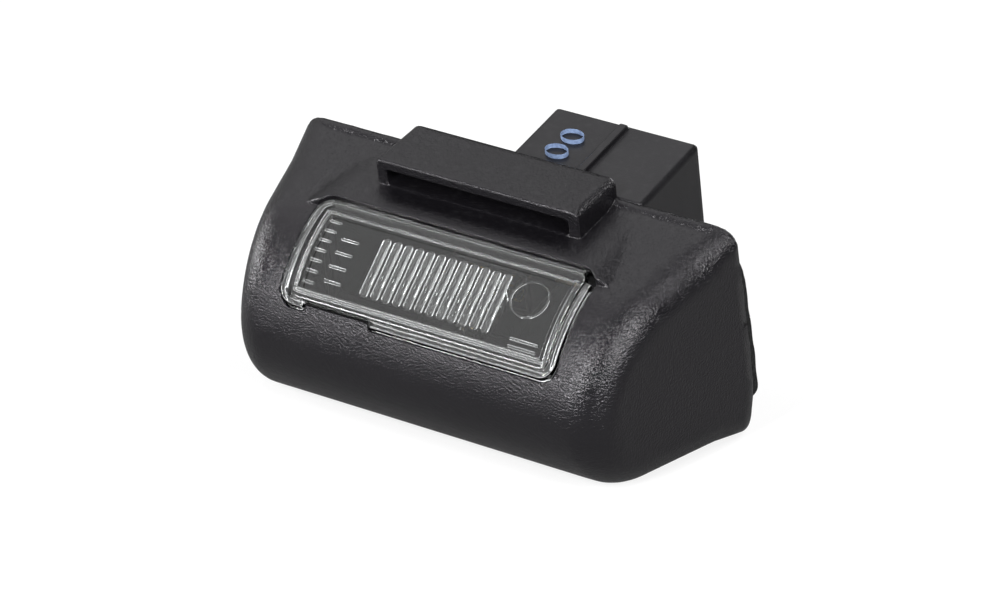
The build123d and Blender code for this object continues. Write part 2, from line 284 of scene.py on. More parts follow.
# %% [markdown]
# ## Housing
# The side section is a sloping top, a big nose arc, a smaller chin arc and a flat bottom. The ends lean in
# towards the nose and roll into it. A brow stands over the lens, a hook tongue with a slot stands on the
# brow, and the lens lies in a stepped pocket. A thin uneven lip runs along the back top edge, and the lower
# back corners turn in. One field holds it all, so each edge gets the rounding that a mould would give it.

# %% Housing sizes
length = 78.2
back_height = 37.8
top_slope = math.radians(6.0)
end_taper = math.radians(11.2)
end_draft = math.radians(2.0)
top_run = 17.0
nose_radius = 19.5
chin_radius = 13.5
end_round = 5.0
back_round = 3.2
wall = 2.4
nose_y = -top_run + nose_radius * math.sin(top_slope)
nose_z = -top_run * math.tan(top_slope) - nose_radius * math.cos(top_slope)
bottom_normal = np.array((-math.sin(bottom_slope), -math.cos(bottom_slope)))
bottom_way = np.array((-math.cos(bottom_slope), math.sin(bottom_slope)))
chin_start = np.array((0, -back_height)) - chin_radius * bottom_normal
to_chin = chin_start - np.array((nose_y, nose_z))
along = to_chin @ bottom_way
chin_run = -along + math.sqrt(along**2 - to_chin @ to_chin + (nose_radius - chin_radius) ** 2)
chin_y, chin_z = chin_start + chin_run * bottom_way
meeting = math.atan2(chin_z - nose_z, chin_y - nose_y) % math.tau
print("nose centre:", round(nose_y, 2), round(nose_z, 2))
print("chin centre:", round(chin_y, 2), round(chin_z, 2))


def side_section(y, z):
    """Distance to the housing's side section, open to the back."""
    from_top = -math.sin(top_slope) * y + math.cos(top_slope) * z
    from_bottom = bottom_normal[0] * y + bottom_normal[1] * (z + back_height)
    nose_turn = np.arctan2(z - nose_z, y - nose_y) % math.tau
    chin_turn = np.arctan2(z - chin_z, y - chin_y) % math.tau
    in_nose = (nose_turn > math.pi / 2 + top_slope) & (nose_turn < meeting)
    in_chin = (chin_turn >= meeting) & (chin_turn < 1.5 * math.pi - bottom_slope)
    from_nose = np.hypot(y - nose_y, z - nose_z) - nose_radius
    from_chin = np.hypot(y - chin_y, z - chin_z) - chin_radius
    return np.where(in_nose, from_nose, np.where(in_chin, from_chin, np.maximum(from_top, from_bottom)))


taper_run = math.tan(end_taper)
draft_run = math.tan(end_draft)


def end_walls(x, y, z):
    """Distance to the two ends, which lean in towards the nose and the top."""
    past = np.abs(x) - length / 2 - y * taper_run + (z + back_height / 2) * draft_run
    return past / math.hypot(1, taper_run, draft_run)


# %% Lens outline, shared by the housing's pocket and the lens
lens_turn = math.radians(30.6)
lens_height = 17.9
lens_top_width = 48.6
lens_bottom_width = 48.2
lens_corner = 2.4
flange_width = 1.0
notch_middle = -13.9
notch_length = 11.9
side_lean = (lens_top_width - lens_bottom_width) / 2 / lens_height
side_mid = (lens_top_width + lens_bottom_width) / 4


def lens_outline(u, v):
    """Distance to the lens outline in the lens plane: u along the lamp, v up the lens."""
    sides = (np.abs(u) - side_mid - v * side_lean) / math.hypot(1, side_lean)
    return both(sides, np.abs(v) - lens_height / 2, lens_corner)


def rim_notch(u, v, shrink):
    """Distance to the notch in the lens rim, shrunk evenly."""
    along_rim = np.abs(u - notch_middle) - notch_length / 2 + shrink
    return both(along_rim, v + lens_height / 2 - flange_width + shrink)


def lens_frame(y, z):
    """Run up the lens, height along the lens normal and height above the nose, for the side section."""
    from_y = y - nose_y
    from_z = z - nose_z
    run = from_y * math.cos(lens_turn) + from_z * math.sin(lens_turn)
    rise = -from_y * math.sin(lens_turn) + from_z * math.cos(lens_turn)
    return run, rise, np.hypot(from_y, from_z) - nose_radius


print("lens middle to its nearest edge:", round(-lens_outline(0.0, 0.0), 2))

# %% Brow, hook and lip
brow_level = -0.1
brow_back_level = -0.5
brow_depth = 18.0
brow_half = 21.0
brow_shoulder = 10.0
brow_root = -7.0
brow_edge = 0.3
hook_half = 17.95
hook_depth = 11.3
hook_back_level = 3.6
hook_front_level = 4.4
hook_plate = 1.8
hook_wall = 1.9
hook_root = -3.0
hook_corner = 1.3
hook_edge = 0.5
slot_depth = 8.8
slot_corner = 0.6
slot_edge = 0.3
slot_overrun = 2.0
lip_radius = 1.1
lip_height = 0.35


def brow_field(x, y, z):
    """Distance to the brow, whose shoulders roll down past its flat middle."""
    past_flat = np.clip(np.abs(x) - brow_half, 0, 0.95 * brow_shoulder)
    shoulder_drop = brow_shoulder - np.sqrt(brow_shoulder**2 - past_flat**2)
    brow_top = brow_back_level - (brow_level - brow_back_level) * y / brow_depth - shoulder_drop
    above = (z - brow_top) * np.sqrt(1 - (past_flat / brow_shoulder) ** 2)
    brow = both(both(above, -y - brow_depth, brow_edge), brow_root - z)
    return both(brow, np.abs(x) - brow_half - 0.8 * brow_shoulder)


def hook_field(x, y, z):
    """Distance to the hook tongue before its slot is cut."""
    hook_top = hook_back_level - (hook_front_level - hook_back_level) * y / hook_depth
    hook = both(both(np.abs(x) - hook_half, z - hook_top, hook_corner), -y - hook_depth, hook_edge)
    return both(hook, hook_root - z)


def slot_field(x, y, z):
    """Distance to the slot, which opens at the hook's front."""
    slot_top = hook_front_level - hook_plate
    slot_mid = (slot_top + brow_level) / 2
    beside = np.abs(x) - hook_half + hook_wall
    slot = both(beside, np.abs(z - slot_mid) - (slot_top - brow_level) / 2, slot_corner)
    slot = both(slot, y + hook_depth - slot_depth, slot_edge)
    return both(slot, -y - hook_depth - slot_overrun)


def lip_field(x, y, z):
    """Distance to the uneven lip along the back top edge."""
    swell = lip_height + 0.06 * np.sin(0.8 * x) + 0.05 * np.sin(1.9 * x + 1.0)
    return np.hypot(y + lip_radius, z - math.tan(top_slope) * y + lip_radius - swell) - lip_radius


print("hook width:", 2 * hook_half, "slot width:", round(2 * (hook_half - hook_wall), 2))

# %% Housing
back_blend = 8.0
back_edge = 0.4
foot_start = -20.0
foot_cut = 4.6
foot_clear = 0.8
foot_lean = 1.5
foot_round = 1.0
seat_depth = 1.4
seat_width = 2.0
lens_gap = 0.15
lens_side = 5.0


def foot_plane(y, z, ends):
    """Distance to the bent plane that turns the lower back corners in."""
    turn = foot_cut * np.clip((foot_start - z) / (back_height + foot_start), 0, 1) ** 2
    return (y + turn - foot_clear + foot_lean * ends) / math.hypot(1, foot_lean)


def housing_field(x, y, z):
    """Distance to the whole housing."""
    section = side_section(y, z)
    ends = end_walls(x, y, z)
    form = both(section, ends, end_round - (end_round - back_round) * np.clip(1 + y / back_blend, 0, 1))
    form = either(form, brow_field(x, y, z), 0.15)
    form = either(form, hook_field(x, y, z), 0.2)
    form = without(form, slot_field(x, y, z), slot_edge)
    form = either(form, both(lip_field(x, y, z), ends + back_round), 0.1)
    form = both(form, y, back_edge)
    form = both(form, foot_plane(y, z, ends), foot_round)
    run, rise, height = lens_frame(y, z)
    outline = lens_outline(x, run)
    pocket = both(both(outline - lens_gap, -height - seat_depth, 0.1), lens_side - rise)
    pocket = without(pocket, rim_notch(x, run, lens_gap), 0.1)
    window = both(outline + seat_width, lens_side - rise)
    hollow = both(section + wall, ends + wall, 1.0)
    form = without(form, pocket, 0.3)
    form = without(form, hollow, 0.2)
    return without(form, window, 0.15)


housing_skin = field_mesh(
    "housing_skin",
    housing_field,
    low=(-40.3, -35.0, -39.0),
    high=(40.3, 0.8, 5.2),
    cell=(0.36, 0.36, 0.36),
)

# %% [markdown]
# ## Rear cover
# The cover plugs the housing's open back. Inside it carries a box for the bulb's flat base, and outside the
# square block with the plug socket and a rib on top. The plate has slots for the two brass contacts. Boxes
# and booleans could make it, but as fields the boxes get their rounded edges and fillets at once.

# %% Rear cover sizes
fit = 0.15
cover_thickness = 1.6
spigot_depth = 4.0
spigot_wall = 1.4
block_middle = 9.75
block_half_width = 12.6
block_half_height = 7.9
block_level = -7.6
block_reach = 16.5
socket_wall = 1.6
socket_depth = 11.0
socket_overrun = 5.0
rib_width = 1.5
rib_height = 0.8
rib_end_gap = 0.7
blade_spacing = 10.4
blade_slot_half = (3.3, 0.55)
bulb_level = -15.5
holder_half = (7.0, 4.1)
holder_wall = 1.2
holder_end = -9.8
riser_middle = (5.5, -12.1)
riser_half = (13.1, 5.4)
riser_depth = 0.95
plug_inset = wall + fit
plate_overlap = 0.5
print("block width:", 2 * block_half_width, "height:", 2 * block_half_height)


# %% Rear cover
def box_field(u, v, half, corner):
    """Distance to a rounded rectangle about zero."""
    return both(np.abs(u) - half[0], np.abs(v) - half[1], corner)


def between(value, low, high):
    """Distance to the slab between two levels."""
    return np.abs(value - (low + high) / 2) - (high - low) / 2


def plug_field(x, y, z):
    """Distance to the plate and the edge that plugs into the housing."""
    inset = both(side_section(y, z), end_walls(x, y, z)) + plug_inset
    plug = both(inset, between(y, -spigot_depth, 0), 0.25)
    return without(plug, both(inset + spigot_wall, y + cover_thickness), 0.1)


def holder_field(x, y, z):
    """Distance to the box for the bulb's base, cut away where the contacts rise."""
    level = z - bulb_level
    holder = box_field(x, level, holder_half, holder_wall)
    holder = both(holder, between(y, holder_end, -plate_overlap), 0.2)
    inner_half = (holder_half[0] - holder_wall, holder_half[1] - holder_wall)
    holder = without(holder, both(box_field(x, level, inner_half, 0.1), y + cover_thickness), 0.15)
    riser = box_field(x - riser_middle[0], z - riser_middle[1], riser_half, 0.1)
    riser = both(riser, between(y, -cover_thickness - riser_depth, -cover_thickness))
    return without(holder, riser, 0.1)


def block_field(across, y, z):
    """Distance to the connector block and its rib."""
    block = box_field(across, z - block_level, (block_half_width, block_half_height), 0.8)
    block = both(block, between(y, -plate_overlap, block_reach), 0.4)
    rib_middle = block_level + block_half_height
    rib = box_field(across, z - rib_middle, (rib_width / 2, rib_height), 0.25)
    rib = both(rib, between(y, -plate_overlap, block_reach - rib_end_gap), 0.25)
    return either(block, rib, 0.2)


def cover_field(x, y, z):
    """Distance to the rear cover."""
    across = x - block_middle
    inner = either(plug_field(x, y, z), holder_field(x, y, z), 0.2)
    form = either(inner, block_field(across, y, z), 0.3)
    socket_half = (block_half_width - socket_wall, block_half_height - socket_wall)
    socket = box_field(across, z - block_level, socket_half, 0.4)
    socket = both(socket, between(y, block_reach - socket_depth, block_reach + socket_overrun), 0.2)
    form = without(form, socket, 0.3)
    blade_slot = box_field(np.abs(across) - blade_spacing / 2, z - block_level, blade_slot_half, 0.1)
    return without(form, blade_slot, 0.15)


cover_skin = field_mesh(
    "rear_cover_skin",
    cover_field,
    low=(-37.6, -10.4, -37.5),
    high=(37.6, 17.2, 1.8),
    cell=(0.3, 0.3, 0.3),
)

# %% [markdown]
# ## Lens
# The clear lens is one moulding bent round the nose: a low flange, a raised frame and a sunk panel. Its
# steps are simple when it is drawn flat, with the height above the nose as the third axis. The finished
# mesh is then laid on the nose.

# %% Lens shell
frame_inset = 2.6
flange_top = 0.6
frame_top = 1.1
panel_top = 0.5
panel_inside = -1.3
flange_bottom = -0.7
key_notch = 2.2


def on_nose(points):
    """Flat lens coordinates (along, up the lens, height above the nose) to table metres."""
    u, v, w = np.asarray(points, float).T
    rise = np.sqrt((nose_radius + w) ** 2 - v**2)
    y = nose_y - rise * math.sin(lens_turn) + v * math.cos(lens_turn)
    z = nose_z + rise * math.cos(lens_turn) + v * math.sin(lens_turn)
    return on_table(np.stack((u, y, z), 1))


def lens_field(u, v, w):
    """Distance to the lens shell in its flat coordinates."""
    outline = lens_outline(u, v)
    flange = both(outline, between(w, flange_bottom, flange_top), 0.4)
    key = both(lens_top_width / 2 - key_notch - u, lens_height / 2 - key_notch - v)
    flange = without(without(flange, rim_notch(u, v, 0.0), 0.15), key, 0.15)
    rim = both(outline + flange_width, between(w, flange_bottom, frame_top), 0.45)
    panel = both(outline + seat_width + lens_gap, between(w, panel_inside, panel_top), 0.15)
    form = either(either(flange, rim, 0.15), panel, 0.1)
    return without(form, both(outline + frame_inset, panel_top - w, 0.1), 0.4)


lens_shell = field_mesh(
    "lens_shell",
    lens_field,
    low=(-25.0, -9.4, -1.7),
    high=(25.0, 9.4, 1.5),
    cell=(0.2, 0.16, 0.1),
    adaptivity=0.0,
    place=on_nose,
)

# %% [markdown]
# ## Geometry Nodes
# Flutes, ribs, marks and the filament repeat or follow a rule, so Geometry Nodes make them. Each tree has
# named inputs, makes its piece flat and in millimetres, and ends in real instances with a material. The
# result is read back as a plain mesh and its points are laid where they belong.

# %% Node tree helpers
def new_tree(name, inputs):
    """Geometry node tree with named number inputs, a material input and one mesh output."""
    tree = bpy.data.node_groups.new(name, "GeometryNodeTree")
    for label, kind, value in inputs:
        tree.interface.new_socket(label, in_out="INPUT", socket_type=kind).default_value = value
    tree.interface.new_socket("Material", in_out="INPUT", socket_type="NodeSocketMaterial")
    tree.interface.new_socket("Mesh", in_out="OUTPUT", socket_type="NodeSocketGeometry")
    return tree, tree.nodes.new("NodeGroupInput"), tree.nodes.new("NodeGroupOutput")


def node(tree, kind, links=None, **settings):
    """New node with its properties set and its inputs fed."""
    made = tree.nodes.new(kind)
    for name, value in settings.items():
        setattr(made, name, value)
    for socket, source in (links or {}).items():
        plug(tree, source, made.inputs[socket])
    return made


def close_tree(tree, group_output, geometry, material):
    """Finish a tree with smooth shading, real instances and its material."""
    real = node(tree, "GeometryNodeRealizeInstances", {"Geometry": geometry})
    smooth = node(tree, "GeometryNodeSetShadeSmooth", {"Geometry": real})
    dressed = node(tree, "GeometryNodeSetMaterial", {"Geometry": smooth, "Material": material})
    tree.links.new(dressed.outputs[0], group_output.inputs["Mesh"])


def grow(name, tree, values, material, place):
    """Plain mesh object from a tree, with its points put through a placing function."""
    seed = add_object(name, bpy.data.meshes.new(name))
    modifier = seed.modifiers.new("nodes", "NODES")
    modifier.node_group = tree
    sockets = {item.name: item.identifier for item in tree.interface.items_tree if item.in_out == "INPUT"}
    for label, value in {**values, "Material": material}.items():
        modifier[sockets[label]] = value
    shape = bpy.data.meshes.new_from_object(seed.evaluated_get(bpy.context.evaluated_depsgraph_get()))
    seed.modifiers.remove(modifier)
    points = np.empty(3 * len(shape.vertices))
    shape.vertices.foreach_get("co", points)
    shape.vertices.foreach_set("co", place(points.reshape(-1, 3)).ravel())
    shape.update()
    shape.set_sharp_from_angle(angle=math.radians(50))
    seed.data = shape
    shape.name = name
    print(name, "vertices:", len(shape.vertices), "faces:", len(shape.polygons))
    return seed


# %% [markdown]
# ## Shared finishes
# Three effects come back in several materials: the fine spark-eroded grain of the mould, slow changes in
# gloss from handling, and a painted sheen of lighter grey specks on faces that look up. Each is a node group
# with its own inputs.

# %% Finish groups
def finish_group(name, inputs, outputs):
    """Shader node group with named number inputs and outputs, and its object coordinates."""
    group = bpy.data.node_groups.new(name, "ShaderNodeTree")
    for label, value in inputs.items():
        socket = group.interface.new_socket(label, in_out="INPUT", socket_type="NodeSocketFloat")
        socket.default_value = value
    for label in outputs:
        group.interface.new_socket(label, in_out="OUTPUT", socket_type="NodeSocketFloat")
    place = group.nodes.new("ShaderNodeTexCoord").outputs["Object"]
    taken = group.nodes.new("NodeGroupInput").outputs
    given = group.nodes.new("NodeGroupOutput").inputs
    return group, taken, given, place


def noise(tree, place, scale, detail):
    """Output of a noise texture."""
    texture = node(tree, "ShaderNodeTexNoise", {"Vector": place, "Scale": scale, "Detail": detail})
    return texture.outputs["Fac"]


grain_labels = ["Height", "Fleck"]
grain, grain_in, grain_out, grain_place = finish_group("moulded_grain", {"Scale": 2600.0}, grain_labels)
coarse = noise(grain, grain_place, grain_in["Scale"], 1.0)
fine_scale = math_node(grain, "MULTIPLY", grain_in["Scale"], 2.3)
fine = noise(grain, grain_place, fine_scale, 1.0)
height = math_node(grain, "MULTIPLY_ADD", fine, 0.4, coarse)
grain.links.new(height, grain_out["Height"])
grain.links.new(ramp(grain, height, 0.55, 0.85, 0.0, 1.0), grain_out["Fleck"])

handling, handling_in, handling_out, handling_place = finish_group("handling", {"Scale": 90.0}, ["Gloss"])
patches = noise(handling, handling_place, handling_in["Scale"], 4.0)
handling.links.new(ramp(handling, patches, 0.35, 0.65, 0.0, 1.0), handling_out["Gloss"])

# Painted sheen: faces that look up get lighter grey specks mixed into their colour, so the top reads lighter.
painted_sheen, painted_sheen_in, painted_sheen_out, painted_sheen_place = finish_group("painted_sheen", {"Scale": 900.0, "Amount": 0.2}, ["Mask"])
sheen_normal = painted_sheen.nodes.new("ShaderNodeNewGeometry").outputs["Normal"]
facing = node(painted_sheen, "ShaderNodeSeparateXYZ", {"Vector": sheen_normal})
upward = ramp(painted_sheen, facing.outputs["Z"], 0.2, 1.0, 0.0, 1.0)
specks = ramp(painted_sheen, noise(painted_sheen, painted_sheen_place, painted_sheen_in["Scale"], 5.0), 0.52, 0.8, 0.0, 1.0)
painted_sheen_mask = math_node(painted_sheen, "MULTIPLY", math_node(painted_sheen, "MULTIPLY", upward, specks), painted_sheen_in["Amount"])
painted_sheen.links.new(painted_sheen_mask, painted_sheen_out["Mask"])
print("finish groups:", [group.name for group in (grain, handling, painted_sheen)])


# %% Material helpers
def new_material(name, **settings):
    """Material with its Principled node set from socket names written with underscores."""
    material = bpy.data.materials.new(name)
    material.use_nodes = True
    surface = material.node_tree.nodes["Principled BSDF"]
    for label, value in settings.items():
        surface.inputs[label.replace("_", " ")].default_value = value
    return material, material.node_tree, surface


def use_group(tree, group, output, **values):
    """Output of a finish group placed in a material."""
    placed = node(tree, "ShaderNodeGroup", node_tree=group)
    for label, value in values.items():
        placed.inputs[label].default_value = value
    return placed.outputs[output]


def blend(tree, mask, first, second):
    """Colour output that runs from the first colour to the second."""
    mixed = node(tree, "ShaderNodeMix", data_type="RGBA")
    tree.links.new(mask, mixed.inputs["Factor"])
    mixed.inputs["A"].default_value = (*first, 1)
    mixed.inputs["B"].default_value = (*second, 1)
    return mixed.outputs["Result"]


def bump(tree, surface, height, depth):
    """Plug a height into a material as relief of a given depth in metres."""
    relief = node(tree, "ShaderNodeBump", {"Height": height, "Distance": depth})
    tree.links.new(relief.outputs[0], surface.inputs["Normal"])


# %% [markdown]
# ## Black plastics
# Housing and cover are black plastic. The housing comes from a spark-eroded mould, so it glitters a little
# where light grazes it. The cover is smoother. Both get a painted sheen: lighter grey specks mixed into the
# black on faces that look up.

# %% Black plastics
plastic_tint = (0.98, 0.96, 1.0, 1.0)
# Grey of the painted sheen that lightens faces looking up.
sheen_grey = (0.12, 0.12, 0.125)


def black_plastic(name, colour, shine, roughness, scale, depth, sheen_amount):
    """Moulded black plastic with grain, gloss changes and a painted sheen on faces that look up."""
    material, tree, surface = new_material(name, Specular_IOR_Level=shine, Specular_Tint=plastic_tint)
    sheened_top = use_group(tree, painted_sheen, "Mask", Amount=sheen_amount)
    tree.links.new(blend(tree, sheened_top, colour, sheen_grey), surface.inputs["Base Color"])
    gloss = use_group(tree, handling, "Gloss")
    patchy = ramp(tree, gloss, 0.0, 1.0, roughness - 0.04, roughness + 0.05)
    tree.links.new(patchy, surface.inputs["Roughness"])
    bump(tree, surface, use_group(tree, grain, "Height", Scale=scale), depth)
    return material


housing_black = black_plastic(
    "housing_black",
    colour=(0.0052, 0.0048, 0.0059),
    shine=0.44,
    roughness=0.16,
    scale=3300.0,
    depth=0.00011,
    sheen_amount=0.06,
)
cover_black = black_plastic(
    "cover_black",
    colour=(0.0060, 0.0058, 0.0067),
    shine=0.37,
    roughness=0.32,
    scale=5200.0,
    depth=0.00002,
    sheen_amount=0.06,
)
print("plastics:", housing_black.name, cover_black.name)

# %% [markdown]
# ## Clear materials
# The lens is clear polycarbonate and the bulb is glass. Both keep full transmission; only a slow ripple in
# the surface and a trace of handling in the gloss stop them from looking like a drawing.

# %% Clear materials
def clear(name, colour, ior, ripple_scale, ripple_depth, roughness):
    """Clear plastic or glass with a slow surface ripple."""
    material, tree, surface = new_material(
        name, Base_Color=(*colour, 1), Transmission_Weight=1.0, IOR=ior, Roughness=roughness
    )
    gloss = use_group(tree, handling, "Gloss", Scale=160.0)
    tree.links.new(ramp(tree, gloss, 0.0, 1.0, roughness, 2.5 * roughness), surface.inputs["Roughness"])
    bump(tree, surface, use_group(tree, grain, "Height", Scale=ripple_scale), ripple_depth)
    return material


lens_clear = clear("lens_clear", (0.97, 0.98, 0.98), 1.58, 260.0, 0.00001, 0.006)
bulb_clear = clear("bulb_clear", (0.96, 0.975, 0.975), 1.5, 180.0, 0.00002, 0.01)
print("clear materials:", lens_clear.name, bulb_clear.name)

# %% [markdown]
# ## Rubber, metal and ink
# The seals are matt cellular rubber with open pores, the contacts are rolled brass strip and the bulb's
# wires are drawn steel. The ink on the block is a thin blue print with darker flecks.

# %% Rubber, metal and ink
def rubber(name, colour, pore_scale, pore_depth):
    """Matt rubber with pores."""
    material, tree, surface = new_material(name, Specular_IOR_Level=0.2)
    pores = use_group(tree, grain, "Fleck", Scale=pore_scale)
    tree.links.new(blend(tree, pores, colour, [0.4 * c for c in colour]), surface.inputs["Base Color"])
    tree.links.new(ramp(tree, pores, 0.0, 1.0, 0.75, 0.95), surface.inputs["Roughness"])
    bump(tree, surface, use_group(tree, grain, "Height", Scale=pore_scale), pore_depth)
    return material


def metal(name, bright, dull, roughness):
    """Bare metal with duller patches."""
    material, tree, surface = new_material(name, Metallic=1.0)
    gloss = use_group(tree, handling, "Gloss", Scale=400.0)
    tree.links.new(blend(tree, gloss, bright, dull), surface.inputs["Base Color"])
    tree.links.new(ramp(tree, gloss, 0.0, 1.0, roughness, 2.0 * roughness), surface.inputs["Roughness"])
    return material


gasket_black = rubber("gasket_black", (0.013, 0.013, 0.0135), 1400.0, 0.0001)
seal_black = rubber("seal_black", (0.014, 0.014, 0.0145), 2600.0, 0.00004)
contact_brass = metal("contact_brass", (0.78, 0.6, 0.3), (0.6, 0.43, 0.2), 0.22)
lead_steel = metal("lead_steel", (0.62, 0.62, 0.61), (0.45, 0.45, 0.45), 0.25)
ink_blue, ink_tree, ink_surface = new_material("ink_blue", Specular_IOR_Level=0.3)
ink_wear = use_group(ink_tree, grain, "Fleck", Scale=1800.0)
ink_colour = blend(ink_tree, ink_wear, (0.19, 0.26, 0.41), (0.13, 0.18, 0.3))
ink_tree.links.new(ink_colour, ink_surface.inputs["Base Color"])
ink_tree.links.new(ramp(ink_tree, ink_wear, 0.0, 1.0, 0.5, 0.7), ink_surface.inputs["Roughness"])
print("materials:", len(bpy.data.materials))

# %% [markdown]
# ## Flutes
# Twelve round-ended flutes spread the light of the bulb. They are alike and evenly spaced, so one is made
# from a sphere, flattened and pulled apart along its length, and repeated on a line of points. The sphere
# is first turned by half a segment, so that only its poles lie on the line where it parts. A hair of air
# stays between the flutes and the panel, so that light bends once at each surface.

# %% Flutes
number = "NodeSocketFloat"
flute_inputs = [
    ("Count", "NodeSocketInt", 12),
    ("Pitch", number, 1.94),
    ("Width", number, 1.5),
    ("Length", number, 9.9),
    ("Height", number, 0.55),
]
flute_tree, flute_in, flute_end = new_tree("flute_row", flute_inputs)
flute_size = flute_in.outputs
ball_segments = 32
half_segment = Euler((0, 0, math.pi / ball_segments))


def flute_math(operation, *values):
    """Output of a math node in the flute tree."""
    return math_node(flute_tree, operation, *values)


ball = node(flute_tree, "GeometryNodeMeshUVSphere", {"Segments": ball_segments, "Rings": 16, "Radius": 1.0})
turned = node(flute_tree, "GeometryNodeTransform", {"Geometry": ball, "Rotation": half_segment})
ball_point = flute_tree.nodes.new("GeometryNodeInputPosition")
ball_place = node(flute_tree, "ShaderNodeSeparateXYZ", {0: ball_point}).outputs
half_width = flute_math("MULTIPLY", flute_size["Width"], 0.5)
half_length = flute_math("MULTIPLY", flute_size["Length"], 0.5)
side = flute_math("SIGN", ball_place["Y"])
pull = flute_math("SUBTRACT", half_length, half_width)
end_cap = flute_math("MULTIPLY", ball_place["Y"], half_width)
lower_half = flute_math("MINIMUM", ball_place["Z"], 0.0)
stretch = {
    "X": flute_math("MULTIPLY", ball_place["X"], half_width),
    "Y": flute_math("MULTIPLY_ADD", side, pull, end_cap),
    "Z": flute_math("MULTIPLY", lower_half, flute_size["Height"]),
}
stretched = node(flute_tree, "ShaderNodeCombineXYZ", stretch)
flute = node(flute_tree, "GeometryNodeSetPosition", {"Geometry": turned, "Position": stretched})
flute_gaps = flute_math("SUBTRACT", flute_size["Count"], 1.0)
row_length = flute_math("MULTIPLY", flute_size["Pitch"], flute_gaps)
row_start = node(flute_tree, "ShaderNodeCombineXYZ", {"X": flute_math("MULTIPLY", row_length, -0.5)})
row_step = node(flute_tree, "ShaderNodeCombineXYZ", {"X": flute_size["Pitch"]})
row_inputs = {"Count": flute_size["Count"], "Start Location": row_start, "Offset": row_step}
row = node(flute_tree, "GeometryNodeMeshLine", row_inputs)
copies = node(flute_tree, "GeometryNodeInstanceOnPoints", {"Points": row, "Instance": flute})
close_tree(flute_tree, flute_end, copies, flute_size["Material"])
air_gap = 0.02
flute_middle = (0.1, 0.1, panel_inside - air_gap)
lens_flutes = grow("lens_flutes", flute_tree, {}, lens_clear, lambda points: on_nose(points + flute_middle))

# %% [markdown]
# ## Rim ribs
# The rim of the lens has fine round ribs on its underside. They send light back by total reflection, so the
# rim shows as bright lines on black. Each rib follows the outline at its own inset: the outline curve
# becomes edges, the stretches at the two notches are deleted, and a half-round profile is swept along what
# is left.

# %% Rib sizes
rib_insets = (0.26, 0.80, 2.20)
least_corner = 0.4
vector = "NodeSocketVector"
rib_inputs = [
    ("Rim Size", vector, ((lens_top_width + lens_bottom_width) / 2, lens_height, 0.0)),
    ("Corner", number, lens_corner),
    ("Rib Width", number, 0.48),
    ("Rib Height", number, 0.22),
    ("Notch Middle", vector, (notch_middle, -lens_height / 2, 0.0)),
    ("Notch Half", vector, (notch_length / 2 + 0.2, flange_width + 0.1, 1.0)),
    ("Key Middle", vector, (lens_top_width / 2, lens_height / 2, 0.0)),
    ("Key Half", vector, (key_notch + 0.1, key_notch + 0.1, 1.0)),
]
rib_tree, rib_in, rib_end = new_tree("rim_ribs", rib_inputs)
rib_size = rib_in.outputs
rim_sides = node(rib_tree, "ShaderNodeSeparateXYZ", {0: rib_size["Rim Size"]})


def in_box(tree, middle, half):
    """True where a point lies in a flat box."""
    place = tree.nodes.new("GeometryNodeInputPosition")
    away = node(tree, "ShaderNodeVectorMath", {0: place, 1: middle}, operation="SUBTRACT")
    apart = node(tree, "ShaderNodeVectorMath", {0: away}, operation="ABSOLUTE")
    compare = {"data_type": "VECTOR", "mode": "ELEMENT", "operation": "LESS_THAN"}
    return node(tree, "FunctionNodeCompare", {"A": apart, "B": half}, **compare).outputs[0]


print("rib insets:", rib_insets)

# %% Rim ribs
arc = {"Resolution": 12, "Radius": 1.0, "Sweep Angle": math.pi}
half_round = node(rib_tree, "GeometryNodeCurveArc", arc)
closed = node(rib_tree, "GeometryNodeSetSplineCyclic", {"Geometry": half_round, "Cyclic": True})
half_rib = math_node(rib_tree, "MULTIPLY", rib_size["Rib Width"], 0.5)
rib_scale = node(rib_tree, "ShaderNodeCombineXYZ", {"X": half_rib, "Y": rib_size["Rib Height"], "Z": 1.0})
profile = node(rib_tree, "GeometryNodeTransform", {"Geometry": closed, "Scale": rib_scale})
all_ribs = node(rib_tree, "GeometryNodeJoinGeometry")
for inset in rib_insets:
    inset_sides = {
        "Width": math_node(rib_tree, "SUBTRACT", rim_sides.outputs["X"], 2 * inset),
        "Height": math_node(rib_tree, "SUBTRACT", rim_sides.outputs["Y"], 2 * inset),
    }
    outline_curve = node(rib_tree, "GeometryNodeCurvePrimitiveQuadrilateral", inset_sides)
    inset_corner = math_node(rib_tree, "SUBTRACT", rib_size["Corner"], inset)
    corner = math_node(rib_tree, "MAXIMUM", inset_corner, least_corner)
    corner_inputs = {"Curve": outline_curve, "Radius": corner, "Count": 10}
    rounded = node(rib_tree, "GeometryNodeFilletCurve", corner_inputs, mode="POLY")
    sampled = node(rib_tree, "GeometryNodeResampleCurve", {"Curve": rounded, "Length": 0.25}, mode="LENGTH")
    edges = node(rib_tree, "GeometryNodeCurveToMesh", {"Curve": sampled})
    at_notch = in_box(rib_tree, rib_size["Notch Middle"], rib_size["Notch Half"])
    at_key = in_box(rib_tree, rib_size["Key Middle"], rib_size["Key Half"])
    flange_only = 1.0 if inset < flange_width else 0.0
    cut = math_node(rib_tree, "MULTIPLY", math_node(rib_tree, "MAXIMUM", at_notch, at_key), flange_only)
    cut_inputs = {"Geometry": edges, "Selection": cut}
    kept = node(rib_tree, "GeometryNodeDeleteGeometry", cut_inputs, domain="POINT")
    path = node(rib_tree, "GeometryNodeMeshToCurve", {"Mesh": kept})
    upright = node(rib_tree, "GeometryNodeSetCurveNormal", {"Curve": path}, mode="Z_UP")
    sweep = {"Curve": upright, "Profile Curve": profile, "Fill Caps": True}
    rib = node(rib_tree, "GeometryNodeCurveToMesh", sweep)
    rib_tree.links.new(rib.outputs[0], all_ribs.inputs[0])
close_tree(rib_tree, rib_end, all_ribs, rib_size["Material"])
